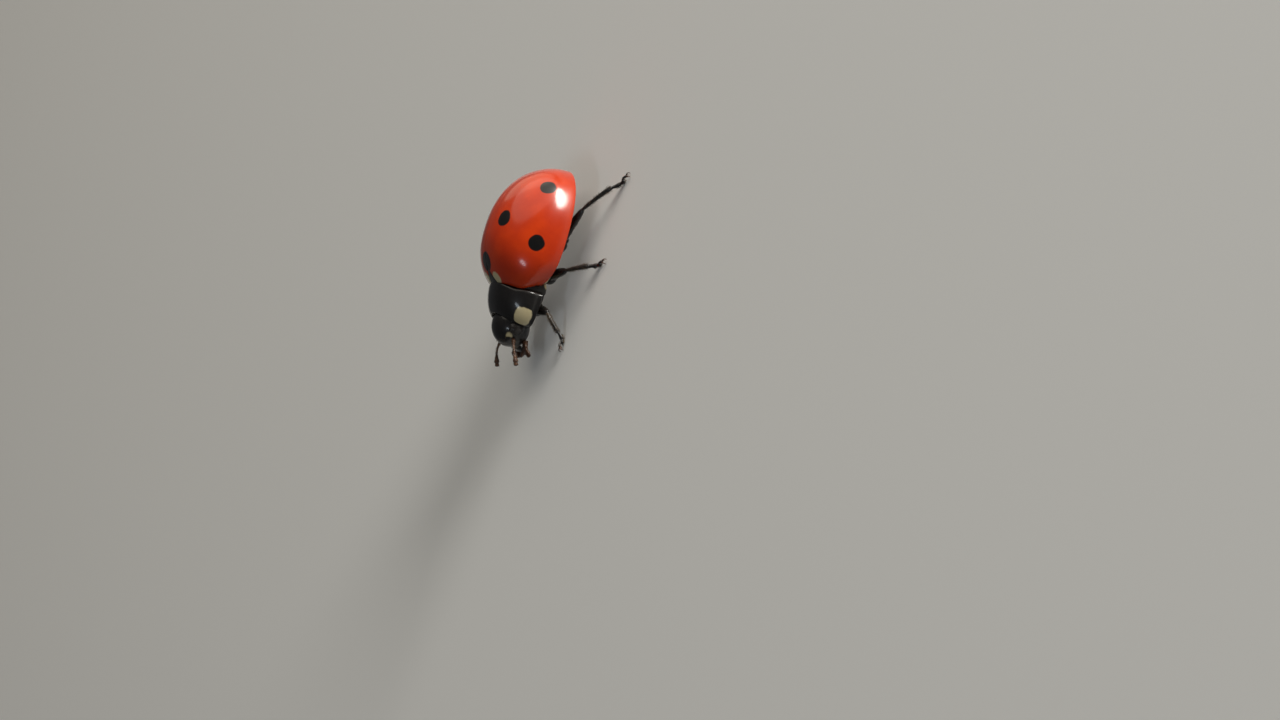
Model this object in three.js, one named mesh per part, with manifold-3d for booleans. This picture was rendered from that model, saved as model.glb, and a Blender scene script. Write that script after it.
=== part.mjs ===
// A seven-spot ladybird at life size, standing as it does when it walks: millimetres, +Z up.
// The head faces -Y, the beetle's own left side is +X and the floor is at z = 0.
// Every shell plate, eye, feeler and leg section is a closed solid of its own.
import * as THREE from 'three';
import { mergeVertices } from 'three/addons/utils/BufferGeometryUtils.js';
import Module from 'manifold-3d';

const wasm = await Module();
wasm.setup();

// ---------------------------------------------------------------- driving dimensions
const WING_CASE_LENGTH = 5.6; // base to tip, along the seam
const WING_CASE_WIDTH = 5.44; // both wing cases together
const DOME_HEIGHT = 2.58; // top of the back above the side margin
const MARGIN_HEIGHT = 1.25; // side margin above the floor
const SHELL_THICKNESS = 0.5;
const SEAM_GAP = 0.03; // between two plates that meet
const BASE_Y = -1.95; // where the wing cases meet the neck shield, at the seam
const WIDEST_Y = 0.3; // where the wing cases are widest
const BASE_BOW_RADIUS = 7; // the joint with the neck shield is an arc of this radius
const WAIST_Y = 0.35; // where the chest ends and the abdomen starts
const BELLY_DEPTH = 0.52; // how far the belly hangs below the side margin
const FLOOR_Z = 0;
const FAR = 9; // past everything

const TIP_Y = BASE_Y + WING_CASE_LENGTH;

// ---------------------------------------------------------------- finishes
const finish = (color, roughness) => new THREE.MeshStandardMaterial({ color, roughness, metalness: 0 });
const lacquerRed = finish(0xc62a08, 0.18);
const shellBlack = finish(0x0d0c0c, 0.25);
const bellyBlack = finish(0x15120f, 0.55);
const eyeBlack = finish(0x060505, 0.15);
const feelerBrown = finish(0x5a3312, 0.45);

// ---------------------------------------------------------------- solids and meshes
const MERGE_WITHIN = 1e-4;
const SLIVER = 0.004; // detail smaller than this is smoothed away after the cuts

// A closed geometry as a solid. Doubled vertices are merged and collapsed triangles are dropped.
function solidOf(geometry) {
  const bare = new THREE.BufferGeometry();
  bare.setAttribute('position', geometry.getAttribute('position').clone());
  bare.setIndex(geometry.getIndex());
  const merged = mergeVertices(bare, MERGE_WITHIN);
  const corner = merged.getIndex().array;
  const kept = [];
  for (let i = 0; i < corner.length; i += 3) {
    const [a, b, c] = corner.slice(i, i + 3);
    if (a !== b && b !== c && c !== a) kept.push(a, b, c);
  }
  return new wasm.Manifold(new wasm.Mesh({
    numProp: 3,
    vertProperties: merged.getAttribute('position').array,
    triVerts: new Uint32Array(kept),
  }));
}

function meshOf(name, solid, material) {
  const { vertProperties, triVerts } = solid.simplify(SLIVER).getMesh();
  const geometry = new THREE.BufferGeometry();
  geometry.setAttribute('position', new THREE.BufferAttribute(vertProperties, 3));
  geometry.setIndex(new THREE.BufferAttribute(triVerts, 1));
  geometry.computeVertexNormals();
  const mesh = new THREE.Mesh(geometry, material);
  mesh.name = name;
  return mesh;
}

const signedPower = (value, exponent) => Math.sign(value) * Math.abs(value) ** exponent;

// A unit dome turned about +Z. Below its widest line it has a straight skirt, or a shallow belly of
// bellyRings rings.
function unitDome({ around, rings, bellyRings = 0 }) {
  const profile = [new THREE.Vector2(0, -1)];
  if (bellyRings === 0) profile.push(new THREE.Vector2(1, -1));
  for (let i = 1; i < bellyRings; i++) {
    const turn = (Math.PI / 2) * (1 - i / bellyRings);
    profile.push(new THREE.Vector2(Math.cos(turn), -Math.sin(turn)));
  }
  for (let i = 0; i < rings; i++) {
    const turn = (Math.PI / 2) * (i / rings);
    profile.push(new THREE.Vector2(Math.cos(turn), Math.sin(turn)));
  }
  profile.push(new THREE.Vector2(0, 1));
  return new THREE.LatheGeometry(profile, around).rotateX(Math.PI / 2);
}

// An egg-shaped dome. front and rear are its half lengths, height is above its widest line and depth
// below it. blunt squares the plan and sides steepens the flanks: with 2 both are plain ellipses.
function egg({ halfWidth, front, rear, centreY, height, depth, baseZ, blunt = 2.3, sides = 2.2, ...form }) {
  const geometry = unitDome(form);
  const position = geometry.getAttribute('position');
  for (let i = 0; i < position.count; i++) {
    const [px, py, pz] = [position.getX(i), position.getY(i), position.getZ(i)];
    const turn = Math.atan2(py, px);
    const reach = Math.hypot(px, py) ** (2 / sides);
    const x = halfWidth * reach * signedPower(Math.cos(turn), 2 / blunt);
    const y = centreY + (py < 0 ? front : rear) * reach * signedPower(Math.sin(turn), 2 / blunt);
    position.setXYZ(i, x, y, baseZ(y) + pz * (pz > 0 ? height : depth));
  }
  return solidOf(geometry);
}

// An ellipsoid, tilted about X and then turned about Z, in radians. grow makes it larger all round.
function ellipsoid({ at, radii, tilt = 0, turn = 0, across = 20, down = 12, grow = 0 }) {
  const geometry = new THREE.SphereGeometry(1, across, down);
  geometry.scale(...radii.map((radius) => radius + grow));
  return solidOf(geometry.rotateX(tilt).rotateZ(turn).translate(...at));
}

// A rod with blunt round ends from one point to another, running on past both by overrun. radius
// gives its half width along the way, from 0 to 1, and flat the share of that which its height has.
function rod({ from, to, radius, overrun = 0, flat = 1, steps = 5, grow = 0 }) {
  const start = new THREE.Vector3(...from);
  const axis = new THREE.Vector3(...to).sub(start);
  const length = axis.length() + 2 * overrun;
  axis.normalize();
  start.addScaledVector(axis, -overrun);
  const profile = [];
  for (let i = 0; i <= steps; i++) {
    const share = (1 - Math.cos((Math.PI * i) / steps)) / 2;
    const end = Math.sqrt(1 - Math.abs(2 * share - 1) ** 6);
    profile.push(new THREE.Vector2(end * (radius(share) + grow), -grow + share * (length + 2 * grow)));
  }
  const side = new THREE.Vector3(0, 0, 1).cross(axis).normalize();
  const top = side.clone().cross(axis).multiplyScalar(flat);
  const frame = new THREE.Matrix4().makeBasis(side, axis, top).setPosition(start);
  return solidOf(new THREE.LatheGeometry(profile, 8).applyMatrix4(frame));
}

// A block given by its lowest and highest corner.
function block(low, high) {
  const size = high.map((value, i) => value - low[i]);
  const middle = high.map((value, i) => (value + low[i]) / 2);
  return solidOf(new THREE.BoxGeometry(...size).translate(...middle));
}

// An upright round post, used to cut the arc-shaped joints between plates.
function post(radius, centreY) {
  const geometry = new THREE.CylinderGeometry(radius, radius, 2 * FAR, 96);
  return solidOf(geometry.rotateX(Math.PI / 2).translate(0, centreY, 0));
}

const mirrored = ([x, y, z], side) => [x * side, y, z];

// ---------------------------------------------------------------- wing cases
const RIM_DEPTH = 0.02;
const SCUTELLUM_HALF_WIDTH = 0.36;
const SCUTELLUM_LENGTH = 0.6;

// The back is an egg cut off at the base: its front half would end this far ahead if it ran on.
const EGG_FRONT = 2.85;
const EGG_REAR = TIP_Y - WIDEST_Y;

// The side margin sinks a little towards the tail.
function marginZ(y) {
  const along = (y - WIDEST_Y) / WING_CASE_LENGTH;
  return MARGIN_HEIGHT - 0.09 * along + 0.1 * along ** 2;
}

// The back's own form, taken in by inset on every side.
function back({ inset, ...form }) {
  return egg({
    halfWidth: WING_CASE_WIDTH / 2 - inset,
    front: EGG_FRONT - inset,
    rear: EGG_REAR - inset,
    centreY: WIDEST_Y,
    height: DOME_HEIGHT - inset,
    baseZ: marginZ,
    ...form,
  });
}

const baseJoint = (grow) => post(BASE_BOW_RADIUS + grow, BASE_Y - BASE_BOW_RADIUS);

// The little triangular plate at the front of the seam, as an upright prism.
function scutellumPrism(grow) {
  const half = SCUTELLUM_HALF_WIDTH + grow;
  const outline = new THREE.Shape([
    new THREE.Vector2(-half, BASE_Y - half),
    new THREE.Vector2(half, BASE_Y - half),
    new THREE.Vector2(half, BASE_Y + grow),
    new THREE.Vector2(0, BASE_Y + SCUTELLUM_LENGTH + 2 * grow),
    new THREE.Vector2(-half, BASE_Y + grow),
  ]);
  return solidOf(new THREE.ExtrudeGeometry(outline, { depth: FAR, bevelEnabled: false }));
}

const outerBack = back({ inset: 0, depth: RIM_DEPTH, around: 56, rings: 11 });
const hollow = back({ inset: SHELL_THICKNESS, depth: SHELL_THICKNESS, around: 32, rings: 7 });
const shell = outerBack.subtract(hollow).subtract(baseJoint(SEAM_GAP));
const wingCases = shell.subtract(scutellumPrism(SEAM_GAP));
const leftSide = block([SEAM_GAP / 2, -FAR, -FAR], [FAR, FAR, FAR]);
const rightSide = block([-FAR, -FAR, -FAR], [-SEAM_GAP / 2, FAR, FAR]);

// ---------------------------------------------------------------- chest and abdomen
const CORE_INSET = SHELL_THICKNESS + SEAM_GAP;
const ABDOMEN_SHORT = 0.18; // how far the abdomen stays inside the wing cases' tip

const coreForm = (grow) => egg({
  halfWidth: WING_CASE_WIDTH / 2 - CORE_INSET + grow,
  front: EGG_FRONT - CORE_INSET + grow,
  rear: EGG_REAR - CORE_INSET - ABDOMEN_SHORT + grow,
  centreY: WIDEST_Y,
  height: DOME_HEIGHT - CORE_INSET - SEAM_GAP + grow,
  depth: BELLY_DEPTH + grow,
  baseZ: marginZ,
  around: 28,
  rings: 5,
  bellyRings: 4,
});

// The short broad joints that the legs turn in, under the body.
const hips = {
  front: [0.62, -2.55, 0.93],
  middle: [0.85, -1.1, 0.84],
  hind: [0.98, 0.35, 0.82],
};
const hip = (pair, side, grow = 0) => ellipsoid({
  at: mirrored(hips[pair], side),
  radii: [0.46, 0.34, 0.32],
  across: 10,
  down: 6,
  grow,
});
const hipPair = (pair, grow = 0) => hip(pair, 1, grow).add(hip(pair, -1, grow));

const core = coreForm(0).subtract(baseJoint(SEAM_GAP));
const chestRoom = block([-FAR, -FAR, -FAR], [FAR, WAIST_Y - SEAM_GAP / 2, FAR]);
const abdomenRoom = block([-FAR, WAIST_Y + SEAM_GAP / 2, -FAR], [FAR, FAR, FAR]);
const chestWithHips = core.intersect(chestRoom).add(hipPair('middle')).add(hipPair('hind'));
const chest = chestWithHips.subtract(baseJoint(SEAM_GAP));
const abdomen = core.intersect(abdomenRoom).subtract(hipPair('hind', SEAM_GAP));

// ---------------------------------------------------------------- head
const HEAD_TILT = 0.42; // the face slopes down and forward

const eye = (side, grow = 0) => ellipsoid({
  at: [0.83 * side, -3.62, 1.66],
  radii: [0.26, 0.33, 0.36],
  tilt: HEAD_TILT,
  turn: 0.25 * side,
  across: 12,
  down: 9,
  grow,
});
const bothEyes = (grow) => eye(1, grow).add(eye(-1, grow));

const skull = (grow) => ellipsoid({
  at: [0, -3.52, 1.6],
  radii: [1, 0.92, 0.74],
  tilt: HEAD_TILT,
  grow,
});
const upperLip = (grow) => ellipsoid({
  at: [0, -4.22, 1.2],
  radii: [0.58, 0.4, 0.26],
  tilt: 0.7,
  across: 14,
  down: 8,
  grow,
});
const jaw = (side, grow) => rod({
  from: [0.42 * side, -4, 1.05],
  to: [0.1 * side, -4.56, 0.9],
  radius: (share) => 0.23 - 0.06 * share,
  grow,
});
const headForm = (grow) => skull(grow).add(upperLip(grow)).add(jaw(1, grow)).add(jaw(-1, grow));
const head = headForm(0).subtract(bothEyes(SEAM_GAP));
const headRoom = headForm(SEAM_GAP).add(bothEyes(SEAM_GAP));

// ---------------------------------------------------------------- neck shield
const SHIELD_FRONT_Y = -3.2; // front edge on the midline
const SHIELD_FRONT_BOW = 2.6; // the front edge is an arc that the head sits in

const shieldForm = (grow) => egg({
  halfWidth: 1.88 + grow,
  front: 2 + grow,
  rear: 1.5 + grow,
  centreY: BASE_Y,
  height: 1.63 + grow,
  depth: 0.42 + grow,
  baseZ: (y) => 1.32 + 0.04 * (y - BASE_Y),
  around: 32,
  rings: 7,
  bellyRings: 3,
});
const frontNotch = post(SHIELD_FRONT_BOW, SHIELD_FRONT_Y - SHIELD_FRONT_BOW);
const shieldPlate = shieldForm(0).intersect(baseJoint(0)).subtract(frontNotch);
const shield = shieldPlate.add(hipPair('front')).subtract(headRoom);

// ---------------------------------------------------------------- feelers and mouth feelers
const FEELER_RADIUS = 0.24;
const CLUB_SWELL = 0.05;
const FEELER_OVERRUN = 0.1;

// A feeler: a thick bent stalk that ends in a club.
function feeler(side) {
  const root = [0.62 * side, -4.08, 1.56];
  const bend = [0.96 * side, -4.4, 1.6];
  const clubStart = [1.13 * side, -4.7, 1.53];
  const tip = [1.18 * side, -5.14, 1.36];
  const stalk = { radius: () => FEELER_RADIUS, overrun: FEELER_OVERRUN };
  const lower = rod({ from: root, to: bend, ...stalk });
  const upper = rod({ from: bend, to: clubStart, ...stalk });
  const clubRadius = (share) => FEELER_RADIUS + CLUB_SWELL * Math.sin(Math.PI * share);
  return lower.add(upper).add(rod({ from: clubStart, to: tip, radius: clubRadius }));
}

// The mouth feeler ends in a broad axe-shaped joint.
const mouthFeeler = (side) => rod({
  from: [0.52 * side, -3.95, 0.92],
  to: [0.7 * side, -4.6, 0.72],
  radius: (share) => 0.22 + 0.06 * share,
});

// ---------------------------------------------------------------- legs
const THIGH_RADIUS = 0.29;
const SHIN_RADIUS = 0.25;
const FOOT_RADIUS = 0.25;
const FOOT_Z = 0.2; // middle of the foot above the floor
const FOOT_PADS = 3;
const JOINT_OVERRUN = 0.14; // a thigh and a shin run on past the knee by this

// The knee, the ankle and the tip of the foot of each leg, as if every leg were a left one.
const legs = {
  front_left: { knee: [1.98, -2.72, 0.92], ankle: [2.35, -3.45, 0.36], tip: [2.6, -4.15] },
  front_right: { knee: [2.05, -2.95, 0.92], ankle: [2.6, -3.6, 0.36], tip: [3, -4.25] },
  middle_left: { knee: [2.75, -0.9, 0.92], ankle: [3.85, -0.55, 0.36], tip: [4.8, -0.3] },
  middle_right: { knee: [2.75, -1.1, 0.92], ankle: [3.85, -1.1, 0.36], tip: [4.8, -0.95] },
  hind_left: { knee: [2.72, 1.85, 0.9], ankle: [3.92, 2.95, 0.36], tip: [4.8, 3.55] },
  hind_right: { knee: [2.7, 1.5, 0.9], ankle: [3.6, 2.7, 0.36], tip: [4.2, 3.55] },
};

const thighForm = (pair, side, leg, grow = 0) => rod({
  from: mirrored(hips[pair], side),
  to: mirrored(leg.knee, side),
  radius: (share) => THIGH_RADIUS - 0.05 * share + 0.04 * Math.sin(Math.PI * share),
  overrun: JOINT_OVERRUN,
  flat: 0.88,
  steps: 6,
  grow,
});

const shinForm = (side, leg, grow = 0) => rod({
  from: mirrored(leg.knee, side),
  to: mirrored(leg.ankle, side),
  radius: (share) => SHIN_RADIUS * (0.92 + 0.1 * share),
  overrun: JOINT_OVERRUN,
  grow,
});

// The foot: broad pads that narrow a little between each other, flat where they stand.
function footForm(side, leg) {
  const whole = rod({
    from: mirrored([leg.ankle[0], leg.ankle[1], FOOT_Z], side),
    to: mirrored([...leg.tip, FOOT_Z], side),
    radius: (share) => FOOT_RADIUS * (0.95 - 0.05 * Math.cos(2 * Math.PI * FOOT_PADS * share)),
    flat: 0.92,
    steps: 9,
  });
  return whole.subtract(block([-FAR, -FAR, -FAR], [FAR, FAR, FLOOR_Z]));
}

// ---------------------------------------------------------------- the beetle
const beetle = new THREE.Group();
const place = (name, solid, material) => beetle.add(meshOf(name, solid, material));

place('wing_case_left', wingCases.intersect(leftSide), lacquerRed);
place('wing_case_right', wingCases.intersect(rightSide), lacquerRed);
place('scutellum', shell.intersect(scutellumPrism(0)), shellBlack);
place('neck_shield', shield, shellBlack);
place('head', head, shellBlack);
place('chest', chest, bellyBlack);
place('abdomen', abdomen, bellyBlack);

for (const [name, side] of [['left', 1], ['right', -1]]) {
  place(`eye_${name}`, eye(side), eyeBlack);
  place(`feeler_${name}`, feeler(side).subtract(headRoom), feelerBrown);
  place(`mouth_feeler_${name}`, mouthFeeler(side).subtract(headRoom), feelerBrown);
}

for (const [name, leg] of Object.entries(legs)) {
  const [pair, sideName] = name.split('_');
  const side = sideName === 'left' ? 1 : -1;
  const body = (pair === 'front' ? shieldForm : coreForm)(SEAM_GAP).add(hip(pair, side, SEAM_GAP));
  const shinRoom = shinForm(side, leg, SEAM_GAP);
  const thighRoom = thighForm(pair, side, leg, SEAM_GAP);
  place(`${name}_thigh`, thighForm(pair, side, leg).subtract(body), shellBlack);
  place(`${name}_shin`, shinForm(side, leg).subtract(thighRoom), shellBlack);
  place(`${name}_foot`, footForm(side, leg).subtract(shinRoom), shellBlack);
}

// The origin is on the floor under the middle of the whole beetle, legs and feelers included.
const middle = new THREE.Box3().setFromObject(beetle).getCenter(new THREE.Vector3());
beetle.position.set(-middle.x, -middle.y, -FLOOR_Z);

const ladybird = new THREE.Group();
ladybird.add(beetle);

export default ladybird;
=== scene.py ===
# %% [markdown]
# # A seven-spot ladybird
# This lesson dresses a plain construction model of a ladybird with smooth shell plates, jointed
# legs and feelers, eyes, hairs and lacquer. The construction model is loaded first and fixes every
# size and place: the head faces -Y, the beetle's own left side is +X, and it stands on the floor at
# z = 0.

# %% Load the construction model
import math
import random

import bmesh
import bpy
from mathutils import Matrix, Vector


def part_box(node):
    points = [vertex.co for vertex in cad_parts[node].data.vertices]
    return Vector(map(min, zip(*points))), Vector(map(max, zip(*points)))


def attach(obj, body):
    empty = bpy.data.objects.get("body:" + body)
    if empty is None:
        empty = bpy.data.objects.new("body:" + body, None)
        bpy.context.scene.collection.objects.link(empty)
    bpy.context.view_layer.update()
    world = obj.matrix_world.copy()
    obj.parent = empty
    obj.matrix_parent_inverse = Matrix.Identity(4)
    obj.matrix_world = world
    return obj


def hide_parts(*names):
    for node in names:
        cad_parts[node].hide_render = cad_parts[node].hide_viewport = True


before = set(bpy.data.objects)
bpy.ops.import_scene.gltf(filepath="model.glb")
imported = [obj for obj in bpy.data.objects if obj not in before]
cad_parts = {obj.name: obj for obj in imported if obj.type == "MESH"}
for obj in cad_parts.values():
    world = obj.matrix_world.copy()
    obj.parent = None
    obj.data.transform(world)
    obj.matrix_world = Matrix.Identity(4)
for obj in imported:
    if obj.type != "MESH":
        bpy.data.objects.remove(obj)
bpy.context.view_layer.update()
print("construction model:", len(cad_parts), "nodes")

# %% [markdown]
# ## Sizes
# A ladybird is so small that metres are awkward, so every shape is worked out in millimetres, in
# the beetle's own coordinates, and is scaled once at the end. Two places of the construction model
# tie them to it: the tail of the wing cases and the middle of the scutellum.

# %% Driving sizes
MM = 0.001
TIP_Y = 3.65  # the tail end of the wing cases
BASE_Y = -1.95  # where they meet the neck shield, on the midline
WIDEST_Y = 0.3
EGG_FRONT = 2.85  # from the widest place forward to where the outline would close
HALF_WIDTH = 2.72
DOME_HEIGHT = 2.58
JOINT_GAP = 0.03

scutellum_low, scutellum_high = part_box("scutellum")
MIDLINE_X = (scutellum_low[0] + scutellum_high[0]) / 2
TAIL_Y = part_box("wing_case_left")[1][1]
TO_FRAME = Matrix.Translation((MIDLINE_X, TAIL_Y - TIP_Y * MM, 0)) @ Matrix.Scale(MM, 4)
print("beetle midline at x =", round(MIDLINE_X / MM, 3), "mm")

# %% [markdown]
# ## The form of the back
# The back is one dome, an egg when seen from above, whose flanks curve down to a margin. A power of
# 2 would make its outline and flanks ellipses, and a larger one makes them squarer. Formulas hold
# the form, so that the plates and the spots painted on them agree on it.

# %% The dome
PLAN_POWER = 2.3
FLANK_POWER = 2.2
MARGIN_HEIGHT = 1.25
MARGIN_FALL = 0.09  # how the margin slopes down towards the tail
MARGIN_RISE = 0.1  # and how it curves up again


def margin_z(y):
    """The height of the side margin above the floor."""
    along = (y - WIDEST_Y) / (TIP_Y - BASE_Y)
    return MARGIN_HEIGHT - MARGIN_FALL * along + MARGIN_RISE * along**2


def along_egg(y):
    """0 at the widest place and 1 at either end of the egg."""
    return abs((y - WIDEST_Y) / (EGG_FRONT if y < WIDEST_Y else TIP_Y - WIDEST_Y))


def dome(across, along):
    """The height of a dome above its margin, as a share of its full height."""
    reach = min(1.0, across**PLAN_POWER + along**PLAN_POWER) ** (1 / PLAN_POWER)
    return math.sqrt(max(0.0, 1 - reach**FLANK_POWER))


def back_z(x, y):
    """The height of the outer back above the floor."""
    return margin_z(y) + DOME_HEIGHT * dome(abs(x / HALF_WIDTH), along_egg(y))


print("highest point of the back:", round(back_z(0, WIDEST_Y), 2), "mm")

# %% [markdown]
# ## From a bmesh to a finished piece
# A bmesh is Blender's editable mesh, and its operators do what the buttons of edit mode do. One
# helper makes it an object: it scales it to metres, shades it smooth, gives it its material, says
# which body it rides on, and hides the parts of the construction model that it stands for. The name
# of such a piece starts with dressed_, to tell it from the plain one. The object stays at the
# origin, unturned and unscaled, because its place is in its mesh.

# %% The helper that finishes a piece
MERGE_DISTANCE = 1e-5


def add_object(name, bm, material):
    mesh = bpy.data.meshes.new(name)
    bm.to_mesh(mesh)
    bm.free()
    mesh.materials.append(material)
    made = bpy.data.objects.new(name, mesh)
    bpy.context.scene.collection.objects.link(made)
    print(name, "has", len(mesh.polygons), "faces")
    return made


def finish_piece(name, bm, finish, stands_for=()):
    """Makes a piece of the beetle. A finish is a material and the name of its slot, if any; the
    slot is not used.
    """
    material, slot = finish
    bmesh.ops.remove_doubles(bm, verts=bm.verts, dist=MERGE_DISTANCE)
    bmesh.ops.recalc_face_normals(bm, faces=bm.faces)
    bmesh.ops.transform(bm, matrix=TO_FRAME, verts=bm.verts)
    for face in bm.faces:
        face.smooth = True
    piece = add_object("dressed_" + name if stands_for else name, bm, material)
    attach(piece, "root")
    if stands_for:
        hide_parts(*stands_for)


print("points nearer than", MERGE_DISTANCE, "mm to each other are merged")

# %% [markdown]
# ## Shader sums as Python expressions
# A finish is a network of nodes, which is hard to read when it is written out node by node. So a
# small class wraps a socket and lets + - * and ** add the Math nodes. Every other kind of node
# comes from its one method, node().

# %% The socket class
class Link:
    """A socket in a material's node tree that sums can be written on."""

    def __init__(self, tree, socket=None):
        self.tree = tree
        self.socket = socket

    def node(self, kind, settings=None, inputs=None, output=0):
        made = self.tree.nodes.new("ShaderNode" + kind)
        for key, value in (settings or {}).items():
            setattr(made, key, value)
        for key, value in (inputs or {}).items():
            if isinstance(value, Link):
                self.tree.links.new(value.socket, made.inputs[key])
            else:
                made.inputs[key].default_value = value
        return Link(self.tree, made.outputs[output])

    def math(self, operation, *values):
        return self.node("Math", {"operation": operation}, dict(enumerate(values)))

    def vector(self, operation, *values, output=0):
        return self.node("VectorMath", {"operation": operation}, dict(enumerate(values)), output)

    def __add__(self, other):
        return self.math("ADD", self, other)

    __radd__ = __add__

    def __sub__(self, other):
        return self.math("SUBTRACT", self, other)

    def __rsub__(self, other):
        return self.math("SUBTRACT", other, self)

    def __mul__(self, other):
        return self.math("MULTIPLY", self, other)

    __rmul__ = __mul__

    def __pow__(self, power):
        return self.math("POWER", self, power)

    def __abs__(self):
        return self.math("ABSOLUTE", self)

    def least(self, other):
        return self.math("MINIMUM", self, other)

    def most(self, other):
        return self.math("MAXIMUM", self, other)

    def blend(self, first, second):
        """The colour first where this mask is 0, and second where it is 1."""
        inputs = {0: self, 6: first, 7: second}
        return self.node("Mix", {"data_type": "RGBA"}, inputs, 2)

    def fade(self, full, none):
        """A mask from this value: 1 up to full and 0 past none, with a soft edge between them."""
        inputs = {"Value": self, "From Min": none, "From Max": full}
        return self.node("MapRange", {"interpolation_type": "SMOOTHSTEP"}, inputs)

    def distance(self, point):
        return self.vector("DISTANCE", self, point, output="Value")

    def square_reach(self, point):
        """Like distance, but equal along the sides of a rounded square that lies along the body."""
        away = self.vector("SUBTRACT", self, point)
        along = away.vector("DOT_PRODUCT", away, (0, 1, 0), output="Value")
        level = away.vector("MULTIPLY", away, (1, 0, 1))
        across = level.vector("LENGTH", level, output="Value")
        return (abs(along) ** 4.0 + across**4.0) ** 0.25


print("a Link can:", ", ".join(name for name in vars(Link) if not name.startswith("_")))

# %% [markdown]
# ## A material to start from
# Each finish starts the same way: a new material keeps its Principled shader, and a Mapping node
# turns the Object coordinates into beetle millimetres, so that a spot can be placed where the
# beetle has it. What is the same all over a piece is set on the shader's own socket, and only what
# varies is fed by nodes.

# %% Starting a finish
def new_material(name, **constants):
    """A material and its shader. Coat_Weight=0.3, say, sets the shader's socket Coat Weight."""
    material = bpy.data.materials.new(name)
    material.use_nodes = True
    shader = material.node_tree.nodes["Principled BSDF"]
    for socket, value in constants.items():
        shader.inputs[socket.replace("_", " ")].default_value = value
    print("finish:", name)
    return material, shader


def start_finish(name, **constants):
    """A material, its shader, and the place on the beetle in millimetres as a Link."""
    material, shader = new_material(name, **constants)
    root = Link(material.node_tree)
    coordinates = root.node("TexCoord", output="Object")
    offset = [-part / MM for part in TO_FRAME.translation]
    inputs = {"Vector": coordinates, "Location": offset, "Scale": (1 / MM,) * 3}
    return material, shader, root.node("Mapping", None, inputs)


def feed(shader, **links):
    """Links sums to the shader's sockets."""
    for socket, link in links.items():
        link.tree.links.new(link.socket, shader.inputs[socket.replace("_", " ")])


def noise(place, scale, detail=2.0):
    return place.node("TexNoise", None, {"Vector": place, "Scale": scale, "Detail": detail})


def pits(place, per_mm, width):
    """Small round pits, as 0 at the bottom of a pit and 1 on the shell between them."""
    inputs = {"Vector": place, "Scale": per_mm, "Randomness": 0.85}
    cell = place.node("TexVoronoi", None, inputs, "Distance")
    return 1 - cell.fade(0.0, width)


def relief(shader, height, depth):
    """Feeds the shader's normal with a bump whose full height is depth millimetres."""
    feed(shader, Normal=height.node("Bump", None, {"Height": height, "Distance": depth * MM}))


def any_of(masks):
    """One mask from several: 1 wherever one of them is."""
    whole = masks[0]
    for mask in masks[1:]:
        whole = whole.most(mask)
    return whole


# %% [markdown]
# ## Lacquer red
# The wing cases are orange-red lacquer over a thick shell: a coloured layer under a clear, sharp
# coat. The seven black spots are masks made from the distance to a point on the shell, with a
# little noise added so that their edges aren't drawn with compasses. The one behind the scutellum
# is shared by both wing cases, and beside the scutellum each has a small cream patch.

# %% Wing case finish
# Each spot: how far out from the seam, how far along the body, and its radius.
SPOTS = [(0.0, -1.2, 0.44), (1.05, 0.68, 0.37), (2.44, -0.12, 0.36), (1.9, 2.42, 0.35)]
SPOT_EDGE = 0.025  # half the width of the soft edge
CREAM_PATCH = (0.52, -1.82, 0.3)
CREAM_EDGE = 0.05
BLACK = (0.004, 0.0035, 0.0035, 1)
CREAM = (0.66, 0.56, 0.33, 1)
ORANGE_RED = (0.6, 0.042, 0.001, 1)
DEEP_RED = (0.4, 0.016, 0.0005, 1)


def mirror_masks(place, x, y, radius, edge, waver):
    """A round mask on each side of the midline, at the height of the back."""
    reach = place.distance((x, y, back_z(x, y))) + waver
    other = place.distance((-x, y, back_z(x, y))) + waver
    return reach.least(other).fade(radius - edge, radius + edge)


def make_wing_case_finish():
    material, shader, place = start_finish(
        "wing_case_lacquer", Coat_Roughness=0.15, Specular_IOR_Level=0.2
    )
    waver = (noise(place, 2.2) - 0.5) * 0.1
    spots = any_of([mirror_masks(place, *spot, SPOT_EDGE, waver) for spot in SPOTS])
    cream = mirror_masks(place, *CREAM_PATCH, CREAM_EDGE, waver * 2)
    cloud = noise(place, 0.9, 3.0).fade(0.35, 0.7) * 0.5
    feed(
        shader,
        Base_Color=spots.blend(cream.blend(cloud.blend(ORANGE_RED, DEEP_RED), CREAM), BLACK),
        Roughness=0.3 + noise(place, 6.0) * 0.1,
        Coat_Weight=0.85 + noise(place, 14.0) * 0.15,
    )
    relief(shader, pits(place, 20.0, 0.3) + noise(place, 5.0) * 0.6, 0.0018)
    return material, "wing_case_red"


wing_case_finish = make_wing_case_finish()

# %% [markdown]
# ## Black shell
# The neck shield, the head and the legs are the same hard black shell, with a painted sheen: random
# patches of a lighter black. The shield has a cream patch in each front corner and the head two
# cream spots beside the eyes, so one function makes all three finishes and is told where the cream
# goes.

# %% Black shell finish
SHIELD_CORNER = (1.47, -3.18, 1.78)
BROW_SPOT = (0.67, -3.94, 1.84)
PATCH_EDGE = 0.03
# a lighter, warmer black that noise lays over the shell in random patches: a painted sheen
PAINTED_SHEEN_BLACK = (0.016, 0.013, 0.012, 1)


def mirrored(points, side):
    """Points given for the left side (1), moved to that side or to the right one (-1)."""
    return [Vector((x * side, y, z)) for x, y, z in points]


def both_sides(point):
    return mirrored([point], 1) + mirrored([point], -1)


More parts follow.
